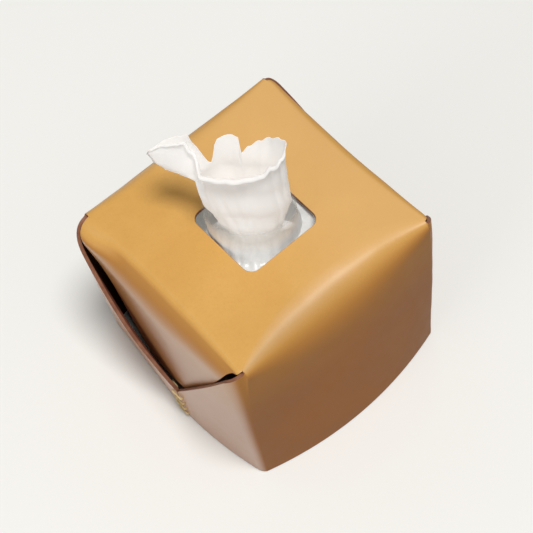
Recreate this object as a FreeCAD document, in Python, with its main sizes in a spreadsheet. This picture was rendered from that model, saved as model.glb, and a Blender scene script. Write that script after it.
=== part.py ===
"""Laced leather tissue box cover, standing over a cube tissue carton with one tissue pulled up.

The frame has its origin at the middle of the base, on the table, with +Z up. The front wall faces -Y, the
two laced sides face -X and +X. All lengths are in millimetres and all angles in degrees.
"""
import FreeCAD, Part
import math
import os
import Sketcher
from FreeCAD import Placement, Rotation, Vector

doc = FreeCAD.newDocument("tissue_box_cover")
sizes = doc.addObject("Spreadsheet::Sheet", "sizes")

driving_sizes = [
    # Leather cover, one folded blank
    ("cover_width", 140.0),
    ("cover_depth", 140.0),
    ("cover_height", 127.0),
    ("leather", 2.2),
    ("opening_side", 51.0),
    ("opening_corner", 6.0),
    # Front and back walls: how far the foot and the back's top edge bow out, and the soft bend into the top
    ("wall_bow", 11.0),
    ("back_edge_bow", 2.5),
    ("front_bend", 28.0),
    ("back_bend", 12.0),
    ("bend_corner", 4.0),
    # Upright corners: their rounding, and how far the foot stands out of the top's own square
    ("corner_round", 14.0),
    ("foot_round", 8.0),
    ("foot_spread", 2.5),
    # Wings, which run from the corners to the seam on each side
    ("slit_set_back", 4.0),
    ("shoulder_drop", 8.5),
    ("side_bow", 7.5),
    ("shoulder_bow", 2.2),
    ("front_flare", 0.3),
    ("back_flare", 3.2),
    ("edge_curl", 0.4),
    # Seam and its lacing
    ("seam_forward", 8.0),
    ("seam_height", 31.0),
    ("seam_gap", 0.4),
    ("thread", 1.3),
    ("thread_clearance", 0.2),
    ("stitch_reach", 4.0),
    ("stitch_foot", 4.5),
    ("stitch_margin", 4.0),
    ("stitch_count", 4),
    ("thread_turn", 0.9),
    ("thread_end", 5.0),
    # Side flaps, folded down from the top, bellied out and tucked inside the wings
    ("fold_set_in", 6.5),
    ("fold_round", 6.3),
    ("fold_turn", 61.0),
    ("belly_round", 50.0),
    ("fold_gap", 0.9),
    ("flap_clearance", 0.3),
    ("flap_length", 66.5),
    ("flap_slit", 1.8),
    ("waist_reach", 2.0),
    ("flap_foot", 36.0),
    # Cardboard carton inside the cover, and the room the leather leaves round it
    ("side_room", 15.0),
    ("end_room", 15.0),
    ("cover_seat", 0.5),
    ("board", 0.8),
    ("carton_window", 80.0),
    # Plastic film under the carton's window, slit for the tissue
    ("film", 0.4),
    ("film_margin", 6.2),
    ("slit_clearance", 0.6),
    ("slit_end_clearance", 1.5),
    # Folded tissues in the carton, and the one that stands up through the slit
    ("stack_gap", 1.2),
    ("stack_height", 52.0),
    ("stack_round", 5.0),
    ("tail_clearance", 0.6),
    ("ply", 1.0),
    ("neck_width", 46.0),
    ("neck_depth", 2.8),
    ("tail_length", 62.0),
    ("tissue_rise", 79.6),
    ("tissue_spread", 52.0),
    ("tissue_depth", 17.0),
    ("ear_length", 25.0),
    ("ear_height", 30.0),
    ("ear_sag", 4.0),
    # Length by which a cutting tool runs past what it cuts
    ("overrun", 5.0),
]
for row, (alias, value) in enumerate(driving_sizes, start=1):
    sizes.set(f"A{row}", alias)
    sizes.set(f"B{row}", str(value))
    sizes.setAlias(f"B{row}", alias)
doc.recompute()


def size(alias):
    return float(sizes.get(alias))


def polygon(points):
    return Part.makePolygon(list(points) + [points[0]])


# Leather cover: the top, the front and back walls and the four wings

leather = size("leather")
height = size("cover_height")
half_width = size("cover_width") / 2
half_depth = size("cover_depth") / 2
fold_axis_x = half_width - size("fold_set_in")
fold_axis_z = height - size("fold_round")
band_half = fold_axis_x - size("fold_gap")

# The flap turns down in two arcs, a tight fold and a wide belly, and hangs straight below them
fold_turn = math.radians(size("fold_turn"))
belly_more = size("belly_round") - size("fold_round")
belly_x = fold_axis_x - belly_more * math.sin(fold_turn)
belly_z = fold_axis_z - belly_more * math.cos(fold_turn)
flap_face = belly_x + size("belly_round")
seam_y = -size("seam_forward")


class WallProfile:
    """The leather's run from the top down one wall, at one place across its width: bend and wall."""

    def __init__(self, x, side):
        swell = 1 - (x / half_width) ** 2
        bend = size("front_bend") if side < 0 else size("back_bend")
        edge = half_depth if side < 0 else half_depth + size("back_edge_bow") * swell
        self.foot = half_depth + size("wall_bow") * swell
        self.round = size("bend_corner") + (bend - size("bend_corner")) * swell
        self.lean = math.atan2(self.foot - edge, height)
        self.centre = edge - self.round * math.tan((math.pi / 2 - self.lean) / 2)

    def bend(self, angle, inset):
        out = self.centre + (self.round - inset) * math.cos(angle)
        up = height - self.round + (self.round - inset) * math.sin(angle)
        return out, up

    def foot_at(self, inset):
        return self.foot - inset / math.cos(self.lean), 0.0


def band_section(x):
    """Closed outline of the leather across the cover, from the front foot over the top to the back foot."""
    profiles = {side: WallProfile(x, side) for side in (-1, 1)}

    def foot(side, inset):
        return Vector(x, side * profiles[side].foot_at(inset)[0], 0.0)

    def bend(side, inset):
        profile = profiles[side]
        angles = (profile.lean, (profile.lean + math.pi / 2) / 2, math.pi / 2)
        places = [profile.bend(angle, inset) for angle in angles]
        return [Vector(x, side * out, up) for out, up in places]

    def run(inset, near):
        """The outer or the inner face, from the foot on one side to the foot on the other."""
        first = bend(near, inset)
        last = bend(-near, inset)[::-1]
        return [
            Part.LineSegment(foot(near, inset), first[0]).toShape(),
            Part.Arc(*first).toShape(),
            Part.LineSegment(first[-1], last[0]).toShape(),
            Part.Arc(*last).toShape(),
            Part.LineSegment(last[-1], foot(-near, inset)).toShape(),
        ]

    def cut_edge(side):
        """The leather's edge at the foot, from the outer to the inner face."""
        return Part.LineSegment(foot(side, 0.0), foot(side, leather)).toShape()

    return Part.Wire(run(0.0, -1) + [cut_edge(1)] + run(leather, 1) + [cut_edge(-1)])


band_shares = (-1.0, -0.5, 0.0, 0.5, 1.0)
band = Part.makeLoft([band_section(share * band_half) for share in band_shares], True, False)

corner_turns = (14.0, 28.0, 42.0, 56.0, 70.0)
side_turn = 90.0
wing_shares = (0.12, 0.25, 0.38, 0.52, 0.66, 0.8, 0.9, 1.0)
wall_share = 0.8
flare_share = 0.9


def facing(turn):
    """The way a wing's outer face looks, turned from the front or back towards the side."""
    return Vector(math.sin(math.radians(turn)), math.cos(math.radians(turn)), 0.0)


class WingFace:
    """Outer face of a wing, from the upright corner along the side to the seam."""

    def __init__(self, side_y, flare, foot_power):
        self.side_y = side_y
        self.flare = flare
        self.foot_power = foot_power
        self.seam = side_y * seam_y + size("seam_gap") / 2
        self.shoulder = height - size("shoulder_drop")
        self.foot_start, self.top_start = self.corner(corner_turns[-1])

    def corner(self, turn):
        foot_round = size("foot_round")
        corner_round = size("corner_round")
        foot_half_depth = half_depth + size("foot_spread")
        shoulder_half_width = flap_face + leather + size("flap_clearance")
        foot = Vector(half_width - foot_round, foot_half_depth - foot_round, 0.0)
        top = Vector(shoulder_half_width - corner_round, half_depth - corner_round, self.shoulder)
        return foot + facing(turn) * foot_round, top + facing(turn) * corner_round

    def swell(self, share):
        along = min(share / flare_share, 1.0)
        return (1 - (2 * along - 1) ** 2) ** 2

    def side(self, share):
        bow = 1 - (1 - share) ** 2
        foot_bow = 1 - (1 - share) ** self.foot_power
        foot = Vector(
            self.foot_start.x + size("side_bow") * foot_bow,
            self.foot_start.y + (self.seam - self.foot_start.y) * share,
            0.0,
        )
        top = Vector(
            self.top_start.x + size("shoulder_bow") * bow + self.flare * self.swell(share),
            self.top_start.y + (self.seam - self.top_start.y) * share,
            self.shoulder + (size("seam_height") - self.shoulder) * share,
        )
        return foot, top

    def beside_seam(self, reach, up):
        """Distance of the face from the cover's middle plane, a little way from the seam."""
        foot, top = self.side(1 - reach / (self.top_start.y - self.seam))
        return foot.x + (top.x - foot.x) * up / top.z


def arc(start, middle, end):
    return Part.Arc(start, middle, end).toShape()


def soft_curve(start, knee, end):
    """A curve that leaves its start towards the knee and arrives from there."""
    curve = Part.BezierCurve()
    curve.setPoles([start, knee, end])
    return curve.toShape()


def wing_wire(points, bent):
    """One upright slice of a wing: wall, upper edge and back, from its eight places."""
    foot, bend, middle, top, top_in, middle_in, bend_in, foot_in = points
    edges = [
        Part.LineSegment(foot, bend).toShape(),
        bent(bend, middle, top),
        Part.LineSegment(top, top_in).toShape(),
        bent(top_in, middle_in, bend_in),
        Part.LineSegment(bend_in, foot_in).toShape(),
        Part.LineSegment(foot_in, foot).toShape(),
    ]
    return Part.Wire(edges)


def wing(side_x, face):
    """A wing of the front or back wall, from the end of the bend round the corner to the seam."""

    def place(across, out, up):
        return Vector(side_x * across, face.side_y * out, up)

    profile = WallProfile(band_half, face.side_y)
    slit = half_depth - size("slit_set_back")
    slit_angle = math.acos((slit - profile.centre) / profile.round)
    bend_angles = (profile.lean, (profile.lean + slit_angle) / 2, slit_angle)
    outer = [profile.foot_at(0.0)] + [profile.bend(angle, 0.0) for angle in bend_angles]
    inner = [profile.bend(angle, leather) for angle in reversed(bend_angles)] + [profile.foot_at(leather)]
    wires = [wing_wire([place(band_half, out, up) for out, up in outer + inner], arc)]
    slit_top = outer[-1][1]

    def slice_at(foot, top, turn, curl):
        bend = foot + (top - foot) * wall_share
        tip = top - facing(turn) * curl
        front = [foot, bend, (bend + top) / 2, tip]
        back = [point - facing(turn) * leather for point in reversed(front)]
        wires.append(wing_wire([place(*point) for point in front + back], soft_curve))

    for turn in corner_turns:
        share = turn / corner_turns[-1]
        foot, top = face.corner(turn)
        top.z = slit_top + (face.shoulder - slit_top) * share
        slice_at(foot, top, turn, size("edge_curl") + size("slit_set_back") * (1 - share))
    for share in wing_shares:
        foot, top = face.side(share)
        turn = corner_turns[-1] + (side_turn - corner_turns[-1]) * share
        slice_at(foot, top, turn, size("edge_curl") * (1 - share) - face.flare * face.swell(share))
    return Part.makeLoft(wires, True, True)


# The front wings belly out along their foot, the back wings run straight there and flare above
front_face = WingFace(-1, size("front_flare"), 2)
back_face = WingFace(1, size("back_flare"), 1)
wings = [wing(side_x, face) for side_x in (-1, 1) for face in (front_face, back_face)]
blank = band.multiFuse(wings)

# Stitch holes, bored through both wings beside each seam

hole_radius = size("thread") / 2 + size("thread_clearance")
stitch_count = int(size("stitch_count"))
stitch_pitch = (size("seam_height") - size("stitch_margin") - size("stitch_foot")) / (stitch_count - 1)
stitch_heights = [size("stitch_foot") + stitch_pitch * number for number in range(stitch_count)]
holes = []
for side_x in (-1, 1):
    for face in (front_face, back_face):
        for up in stitch_heights:
            inside = face.beside_seam(size("stitch_reach"), up) - leather - size("overrun")
            start = Vector(side_x * inside, seam_y + face.side_y * size("stitch_reach"), up)
            depth = leather + 2 * size("overrun")
            holes.append(Part.makeCylinder(hole_radius, depth, start, Vector(side_x, 0.0, 0.0)))
blank = blank.cut(holes)
leather_blank = doc.addObject("Part::Feature", "leather_blank")
leather_blank.Shape = blank

opening_tool = doc.addObject("Part::Box", "opening_tool")
opening_tool.setExpression("Length", "sizes.opening_side")
opening_tool.setExpression("Width", "sizes.opening_side")
opening_tool.setExpression("Height", "sizes.leather + 2 * sizes.overrun")
opening_tool.setExpression("Placement.Base.x", "-sizes.opening_side / 2")
opening_tool.setExpression("Placement.Base.y", "-sizes.opening_side / 2")
opening_tool.setExpression("Placement.Base.z", "sizes.cover_height - sizes.leather - sizes.overrun")
doc.recompute()


def upright_edges(shape):
    """Numbers of a shape's straight edges that stand upright."""
    numbers = []
    for number, edge in enumerate(shape.Edges, start=1):
        along = edge.tangentAt(edge.FirstParameter)
        if abs(abs(along.z) - 1) < 1e-6:
            numbers.append(number)
    return numbers


opening_round = doc.addObject("Part::Fillet", "opening_round")
opening_round.Base = opening_tool
corner = size("opening_corner")
opening_round.Edges = [(number, corner, corner) for number in upright_edges(opening_tool.Shape)]
leather_cover = doc.addObject("Part::Cut", "leather_cover")
leather_cover.Base = leather_blank
leather_cover.Tool = opening_round


# Lacing: one waxed thread per seam, straight across outside and slanting back inside

def rounded_path(points, radius):
    """A wire of straight runs through the points, joined by tangent arcs."""
    edges = []
    last = points[0]
    for before, corner_point, after in zip(points, points[1:], points[2:]):
        into = (corner_point - before).normalize()
        out = (after - corner_point).normalize()
        turn = into.getAngle(out)
        set_back = radius * math.tan(turn / 2)
        start = corner_point - into * set_back
        end = corner_point + out * set_back
        inward = (out - into).normalize()
        crown = corner_point + inward * (radius / math.cos(turn / 2) - radius)
        edges.append(Part.LineSegment(last, start).toShape())
        edges.append(Part.Arc(start, crown, end).toShape())
        last = end
    edges.append(Part.LineSegment(last, points[-1]).toShape())
    return Part.Wire(edges)


def lacing(side_x):
    reach = size("stitch_reach")
    end_reach = reach + size("thread_end")
    stand_off = size("thread") / 2 + size("thread_clearance")

    def inside(face, along, up):
        across = face.beside_seam(along, up) - leather - stand_off
        return Vector(side_x * across, seam_y + face.side_y * along, up)

    def outside(face, up):
        """The bar's end, far enough out for the bar to clear the ridge along the seam."""
        places = [either.beside_seam(along, up) for either in (front_face, back_face) for along in (0.0, reach)]
        return Vector(side_x * (max(places) + stand_off), seam_y + face.side_y * reach, up)

    points = [inside(back_face, end_reach, stitch_heights[-1])]
    for up in reversed(stitch_heights):
        points.append(inside(back_face, reach, up))
        points.append(outside(back_face, up))
        points.append(outside(front_face, up))
        points.append(inside(front_face, reach, up))
    points.append(inside(front_face, end_reach, stitch_heights[0]))
    path = rounded_path(points, size("thread_turn"))
    circle = Part.Circle(points[0], points[1] - points[0], size("thread") / 2)
    shell = Part.BRepOffsetAPI.MakePipeShell(path)
    shell.add(Part.Wire([circle.toShape()]))
    shell.build()
    shell.makeSolid()
    tube = shell.shape()
    print("lacing volume", tube.Volume, "of", path.Length * math.pi * (size("thread") / 2) ** 2)
    return tube


left_seam_thread = doc.addObject("Part::Feature", "left_seam_thread")
left_seam_thread.Shape = lacing(-1)


def mirrored(source, label):
    """The same piece on the other side of the cover's middle plane."""
    twin = doc.addObject("Part::Mirroring", label)
    twin.Source = source
    twin.Normal = Vector(1.0, 0.0, 0.0)
    return twin


right_seam_thread = mirrored(left_seam_thread, "right_seam_thread")


# Side flaps: bent strips that hang from the fold, wide at the fold and narrower below

def sketch_on(body, role, name):
    sketch = body.newObject("Sketcher::SketchObject", name)
    plane = next(plane for plane in body.Origin.OriginFeatures if plane.Role == role)
    sketch.AttachmentSupport = (plane, "")
    sketch.MapMode = "FlatFace"
    return sketch


def bind(sketch, name, constraint, expression):
    """Add a sized constraint to a sketch and bind its size to the sheet."""
    number = sketch.addConstraint(constraint)
    sketch.renameConstraint(number, name)
    sketch.setExpression("Constraints." + name, expression)


def flap_bend(body):
    """Side view of the left flap: the tight fold, the wide belly and the straight drop below them."""
    sketch = sketch_on(body, "XZ_Plane", "left_flap_bend")
    centre = Vector(-fold_axis_x, fold_axis_z, 0.0)
    belly_centre = Vector(-belly_x, belly_z, 0.0)
    up = Vector(0.0, 1.0, 0.0)
    hip = Vector(-math.sin(fold_turn), math.cos(fold_turn), 0.0)
    side = Vector(-1.0, 0.0, 0.0)
    drop = Vector(0.0, -size("flap_length"), 0.0)

    def bent(middle, start, end, reach):
        ways = (start, (start + end).normalize(), end)
        return sketch.addGeometry(Part.Arc(*[middle + way * reach for way in ways]))

    fold = size("fold_round")
    belly = size("belly_round")
    outer_fold, inner_fold = [bent(centre, up, hip, fold - inset) for inset in (0.0, leather)]
    outer_belly, inner_belly = [bent(belly_centre, hip, side, belly - inset) for inset in (0.0, leather)]
    outer_side, inner_side = [belly_centre + side * (belly - inset) for inset in (0.0, leather)]
    outer_line = sketch.addGeometry(Part.LineSegment(outer_side, outer_side + drop))
    tip_line = sketch.addGeometry(Part.LineSegment(outer_side + drop, inner_side + drop))
    inner_line = sketch.addGeometry(Part.LineSegment(inner_side + drop, inner_side))
    top_line = sketch.addGeometry(Part.LineSegment(centre + up * (fold - leather), centre + up * fold))
    sketch.addConstraint(Sketcher.Constraint("Tangent", outer_fold, 2, outer_belly, 1))
    sketch.addConstraint(Sketcher.Constraint("Tangent", outer_belly, 2, outer_line, 1))
    sketch.addConstraint(Sketcher.Constraint("Coincident", outer_line, 2, tip_line, 1))
    sketch.addConstraint(Sketcher.Constraint("Coincident", tip_line, 2, inner_line, 1))
    sketch.addConstraint(Sketcher.Constraint("Tangent", inner_line, 2, inner_belly, 2))
    sketch.addConstraint(Sketcher.Constraint("Tangent", inner_belly, 1, inner_fold, 2))
    sketch.addConstraint(Sketcher.Constraint("Coincident", inner_fold, 1, top_line, 1))
    sketch.addConstraint(Sketcher.Constraint("Coincident", top_line, 2, outer_fold, 1))
    sketch.addConstraint(Sketcher.Constraint("Coincident", outer_fold, 3, inner_fold, 3))
    sketch.addConstraint(Sketcher.Constraint("Coincident", outer_belly, 3, inner_belly, 3))
    sketch.addConstraint(Sketcher.Constraint("Vertical", top_line))
    sketch.addConstraint(Sketcher.Constraint("Vertical", outer_fold, 3, outer_fold, 1))
    sketch.addConstraint(Sketcher.Constraint("Vertical", outer_line))
    sketch.addConstraint(Sketcher.Constraint("Horizontal", tip_line))
    bind(sketch, "outer_round", Sketcher.Constraint("Radius", outer_fold, fold), "sizes.fold_round")
    bind(sketch, "inner_round", Sketcher.Constraint("Radius", inner_fold, fold - leather),
         "sizes.fold_round - sizes.leather")
    bind(sketch, "belly", Sketcher.Constraint("Radius", outer_belly, belly), "sizes.belly_round")
    belly_low = Sketcher.Constraint("DistanceY", outer_belly, 3, outer_fold, 3, fold_axis_z - belly_z)
    bind(sketch, "belly_low", belly_low, "(sizes.belly_round - sizes.fold_round) * cos(sizes.fold_turn * 1 deg)")
    bind(sketch, "axis_across", Sketcher.Constraint("DistanceX", outer_fold, 3, -1, 1, -centre.x),
         "sizes.cover_width / 2 - sizes.fold_set_in")
    bind(sketch, "axis_up", Sketcher.Constraint("DistanceY", -1, 1, outer_fold, 3, centre.y),
         "sizes.cover_height - sizes.fold_round")
    bind(sketch, "drop", Sketcher.Constraint("Distance", outer_line, drop.Length), "sizes.flap_length")
    return sketch


def outline(sketch, name, places):
    """A closed outline of straight lines, each corner bound to the sheet from the sketch's origin."""
    corners = [Vector(across, up, 0.0) for across, across_size, up, up_size in places]
    first = len(sketch.Geometry)
    for number, start in enumerate(corners):
        sketch.addGeometry(Part.LineSegment(start, corners[(number + 1) % len(corners)]))
    for number, (across, across_size, up, up_size) in enumerate(places):
        line = first + number
        previous = first + (number - 1) % len(places)
        sketch.addConstraint(Sketcher.Constraint("Coincident", previous, 2, line, 1))
        bind(sketch, f"{name}_across_{number}", Sketcher.Constraint("DistanceX", -1, 1, line, 1, across),
             across_size)
        bind(sketch, f"{name}_up_{number}", Sketcher.Constraint("DistanceY", -1, 1, line, 1, up), up_size)


def flap_sides(body):
    """What is cut off the flap beside its slanting edges, front and back."""
    sketch = sketch_on(body, "YZ_Plane", "left_flap_sides")
    head = half_depth - size("slit_set_back") - size("flap_slit")
    head_size = "(sizes.cover_depth / 2 - sizes.slit_set_back - sizes.flap_slit)"
    past_size = head_size + " + sizes.overrun"
    waist = half_depth - size("corner_round") + size("waist_reach")
    waist_size = "(sizes.cover_depth / 2 - sizes.corner_round + sizes.waist_reach)"
    low = belly_z - size("flap_length")
    belly_drop = "(sizes.belly_round - sizes.fold_round) * cos(sizes.fold_turn * 1 deg)"
    low_size = f"sizes.cover_height - sizes.fold_round - {belly_drop} - sizes.flap_length"
    for side, name in ((1, "back"), (-1, "front")):
        sign = "" if side > 0 else "-1 * "
        outline(sketch, name, [
            (side * head, sign + head_size, height, "sizes.cover_height"),
            (side * waist, sign + waist_size, fold_axis_z, "sizes.cover_height - sizes.fold_round"),
            (side * size("flap_foot") / 2, sign + "sizes.flap_foot / 2", low, low_size),
            (side * (head + size("overrun")), sign + f"({past_size})", low, low_size),
            (side * (head + size("overrun")), sign + f"({past_size})", height, "sizes.cover_height"),
        ])
    return sketch


left_flap = doc.addObject("PartDesign::Body", "left_flap")
strip = left_flap.newObject("PartDesign::Pad", "left_flap_strip")
strip.Profile = flap_bend(left_flap)
strip.SideType = "Symmetric"
strip.setExpression("Length", "sizes.cover_depth - 2 * sizes.slit_set_back - 2 * sizes.flap_slit")
doc.recompute()
strip_volume = left_flap.Shape.Volume
trim = left_flap.newObject("PartDesign::Pocket", "left_flap_trim")
trim.Profile = flap_sides(left_flap)
trim.Type = "ThroughAll"
trim.SideType = "Symmetric"
doc.recompute()
print("flap strip", strip_volume, "trimmed", left_flap.Shape.Volume)
if left_flap.Shape.Volume >= strip_volume:
    raise RuntimeError("the flap's slanting edges were not cut")
right_flap = mirrored(left_flap, "right_flap")


# Carton: four board walls, a base and a top with a round die-cut window

def block(name, length, width, tall, base_up):
    """A box centred on the cover's upright axis, its sizes bound to the sheet."""
    box = doc.addObject("Part::Box", name)
    box.setExpression("Length", length)
    box.setExpression("Width", width)
    box.setExpression("Height", tall)
    box.setExpression("Placement.Base.x", f"-({length}) / 2")
    box.setExpression("Placement.Base.y", f"-({width}) / 2")
    box.setExpression("Placement.Base.z", base_up)
    return box


def cut(label, base, tool):
    piece = doc.addObject("Part::Cut", label)
    piece.Base = base
    piece.Tool = tool
    return piece


carton_width = "(sizes.cover_width - 2 * sizes.side_room)"
carton_depth = "(sizes.cover_depth - 2 * sizes.end_room)"
board = "sizes.board"

# The carton's top lies under the leather's hollow side, as low as the bend comes over the carton's edge
lean = "atan2(sizes.wall_bow; sizes.cover_height)"
bend_start = f"(sizes.cover_depth / 2 - sizes.front_bend * tan((90 deg - {lean}) / 2))"
bend_reach = f"max(0; sizes.cover_depth / 2 - sizes.end_room - {bend_start})"
hollow = "(sizes.front_bend - sizes.leather)"
bend_sag = f"({hollow} - sqrt({hollow}^2 - ({bend_reach})^2))"
carton_top_up = f"(sizes.cover_height - sizes.leather - sizes.cover_seat - {bend_sag})"

carton_base = block("carton_base", carton_width, carton_depth, board, "0")
walls_outside = block("walls_outside", carton_width, carton_depth, f"{carton_top_up} - 2 * {board}", board)
walls_inside = block("walls_inside", f"{carton_width} - 2 * {board}", f"{carton_depth} - 2 * {board}",
                     f"{carton_top_up} + 2 * sizes.overrun", "-sizes.overrun")
carton_walls = cut("carton_walls", walls_outside, walls_inside)
top_panel = block("top_panel", carton_width, carton_depth, board, f"{carton_top_up} - {board}")
window = doc.addObject("Part::Cylinder", "window")
window.setExpression("Radius", "sizes.carton_window / 2")
window.setExpression("Height", f"{board} + 2 * sizes.overrun")
window.setExpression("Placement.Base.z", f"{carton_top_up} - {board} - sizes.overrun")
carton_top = cut("carton_top", top_panel, window)

# Film glued under the window, with a slit from corner to corner for the tissue

slit_turn = -45.0


def slot(name, end_clearance, clearance, tall, base_up):
    """A cut from corner to corner that the tissue's flat tail passes with room to spare."""
    length = f"(sizes.neck_width + 2 * {end_clearance})"
    width = f"(sizes.neck_depth + 2 * {clearance})"
    tool = doc.addObject("Part::Box", name)
    tool.setExpression("Length", length)
    tool.setExpression("Width", width)
    tool.setExpression("Height", tall)
    tool.Placement = Placement(Vector(), Rotation(Vector(0.0, 0.0, 1.0), slit_turn))
    tool.setExpression("Placement.Base.x", f"-({length} + {width}) / 2 * cos(45 deg)")
    tool.setExpression("Placement.Base.y", f"({length} - {width}) / 2 * cos(45 deg)")
    tool.setExpression("Placement.Base.z", base_up)
    return tool


film_edges = f"2 * {board} + 2 * sizes.film_margin"
film_sheet = block("film_sheet", f"{carton_width} - ({film_edges})", f"{carton_depth} - ({film_edges})",
                   "sizes.film", f"{carton_top_up} - {board} - sizes.film")
slit = slot("slit", "sizes.slit_end_clearance", "sizes.slit_clearance", "sizes.film + 2 * sizes.overrun",
            f"{carton_top_up} - {board} - sizes.film - sizes.overrun")
film_window = cut("film_window", film_sheet, slit)

# Folded tissues that fill the lower part of the carton, parted where the raised tissue's tail reaches them

stack_edges = f"2 * {board} + 2 * sizes.stack_gap"
stack_block = block("stack_block", f"{carton_width} - ({stack_edges})", f"{carton_depth} - ({stack_edges})",
                    "sizes.stack_height", board)
doc.recompute()
stack_fold = doc.addObject("Part::Fillet", "stack_fold")
stack_fold.Base = stack_block
stack_round = size("stack_round")
stack_fold.Edges = [(number, stack_round, stack_round) for number in upright_edges(stack_block.Shape)]
tail_slot = slot("tail_slot", "sizes.tail_clearance", "sizes.tail_clearance", "sizes.tail_length",
                 f"{carton_top_up} - {board} - sizes.tail_length - sizes.tail_clearance")
tissue_stack = cut("tissue_stack", stack_fold, tail_slot)
doc.recompute()

# Raised tissue: a flat tail in the carton, a pinched neck in the slit and an open fold above with
# a low front lip, a notched back and an ear that flops over to the left

slit_up = film_window.Shape.BoundBox.ZMax
rise = size("tissue_rise")
spread = size("tissue_spread")
thick = size("tissue_depth")
ply = size("ply")
fold_shares = (
    (0.10, -0.50, 0.45, -0.41, 0.30),
    (0.36, -0.57, 0.42, -0.53, 0.47),
    (0.69, -0.60, 0.40, -0.53, 0.53),
    (1.03, -0.61, 0.40, -0.47, 0.53),
)
lip_shares = ((-0.70, 0.86), (-0.46, 0.70), (0.04, 0.68), (0.19, 0.75), (0.31, 0.91), (0.50, 1.00))
rim_shares = (
    (-0.70, 0.90), (-0.60, 0.88), (-0.48, 0.76), (-0.385, 0.645), (-0.33, 0.76), (-0.31, 0.85),
    (-0.19, 0.94), (-0.08, 0.93), (-0.10, 0.72), (0.04, 0.80), (0.17, 0.865), (0.33, 0.90), (0.50, 0.80),
)
ear_root_share = -0.56
ear_up_share = 0.70
ear_shares = ((0.0, -0.35, 0.38, 0.08), (0.5, -0.58, 0.36, 0.30), (1.0, -0.15, 0.03, 0.45))


def lens(up, left, right, front, back):
    """A closed slice of the tissue: a front and a back arc that meet at its two side folds."""
    middle = (left + right) / 2
    left_fold = Vector(left, 0.0, up)
    right_fold = Vector(right, 0.0, up)
    front_arc = Part.Arc(left_fold, Vector(middle, front, up), right_fold)
    back_arc = Part.Arc(right_fold, Vector(middle, back, up), left_fold)
    return Part.Wire([front_arc.toShape(), back_arc.toShape()])


def rim_cutter(shares, depth):
    """Everything above a rim line on one side of the tissue."""
    line = [Vector(across * spread, 0.0, slit_up + up * rise) for across, up in shares]
    sky = slit_up + rise * 2
    points = line + [Vector(line[-1].x, 0.0, sky), Vector(line[0].x, 0.0, sky)]
    return Part.Face(polygon(points)).extrude(Vector(0.0, depth, 0.0))


half_neck = size("neck_width") / 2
neck_face = size("neck_depth") / 2
neck = lens(slit_up, -half_neck, half_neck, -neck_face, neck_face)
outside = [neck]
inside = []
for up, left, right, front, back in fold_shares:
    level = slit_up + up * rise
    outside.append(lens(level, left * spread, right * spread, front * thick, back * thick))
    inside.append(lens(level, left * spread + 2 * ply, right * spread - 2 * ply,
                       front * thick + ply, back * thick - ply))
tissue = Part.makeLoft(outside, True, False).cut(Part.makeLoft(inside, True, False))
tissue = tissue.cut([rim_cutter(lip_shares, -2 * thick), rim_cutter(rim_shares, 2 * thick)])
ear_slices = []
for along, low, high, back in ear_shares:
    across = ear_root_share * spread - along * size("ear_length")
    middle = slit_up + ear_up_share * rise
    deep = back * thick
    top = Vector(across, deep, middle + high * size("ear_height"))
    foot = Vector(across, deep, middle + low * size("ear_height"))
    waist = (top + foot) / 2
    front = Part.Arc(top, waist - Vector(0.0, size("ear_sag") / 2 + ply, 0.0), foot)
    behind = Part.Arc(foot, waist - Vector(0.0, size("ear_sag") / 2, 0.0), top)
    ear_slices.append(Part.Wire([front.toShape(), behind.toShape()]))
ear = Part.makeLoft(ear_slices, True, False)
tail = Part.Face(neck).extrude(Vector(0.0, 0.0, -size("tail_length")))
raised_tissue = doc.addObject("Part::Feature", "raised_tissue")
raised_tissue.Shape = tissue.multiFuse([ear, tail])
raised_tissue.Placement = Placement(Vector(), Rotation(Vector(0.0, 0.0, 1.0), slit_turn))

# Every piece is checked, then written under its own name

pieces = [
    leather_cover, left_flap, right_flap, left_seam_thread, right_seam_thread,
    carton_walls, carton_top, carton_base, film_window, tissue_stack, raised_tissue,
]
doc.recompute()
for thing in doc.Objects:
    if "Invalid" in thing.State or "Error" in thing.State:
        raise RuntimeError(f"{thing.Label} failed: {thing.State}")
for piece in pieces:
    if piece.Shape.isNull() or not piece.Shape.isValid():
        raise RuntimeError(f"{piece.Label} has no valid shape")
os.makedirs("parts", exist_ok=True)
for piece in pieces:
    print(piece.Label, len(piece.Shape.Solids), "solid", round(piece.Shape.Volume, 1), piece.Shape.BoundBox)
    piece.Shape.exportStep(f"parts/{piece.Label}.step")
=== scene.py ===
import math

import bmesh
import bpy
from mathutils import Matrix, Vector, noise


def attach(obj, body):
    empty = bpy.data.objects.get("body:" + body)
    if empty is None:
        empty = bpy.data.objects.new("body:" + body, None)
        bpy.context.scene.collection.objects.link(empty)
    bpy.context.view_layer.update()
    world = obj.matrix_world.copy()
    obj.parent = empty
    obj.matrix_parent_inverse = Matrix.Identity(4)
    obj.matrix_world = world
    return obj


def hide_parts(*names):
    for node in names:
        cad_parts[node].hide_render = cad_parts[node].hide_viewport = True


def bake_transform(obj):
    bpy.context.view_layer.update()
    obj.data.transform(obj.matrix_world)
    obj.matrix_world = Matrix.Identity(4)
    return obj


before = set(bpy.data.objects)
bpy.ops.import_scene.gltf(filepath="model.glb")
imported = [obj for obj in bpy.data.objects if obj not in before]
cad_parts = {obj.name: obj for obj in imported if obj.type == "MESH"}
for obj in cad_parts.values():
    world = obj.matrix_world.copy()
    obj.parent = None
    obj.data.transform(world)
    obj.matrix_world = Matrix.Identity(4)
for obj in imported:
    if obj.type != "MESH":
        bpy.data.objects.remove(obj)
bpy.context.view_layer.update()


# Leather cover: one blank of tan vegetable-tanned leather, 2.2 mm thick, cut by hand and bent while damp.
# The top runs down softly into the front and back walls, whose wings wrap round the corners to a laced seam,
# and a tongue on each side folds down inside the wings as a flap.

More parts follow.
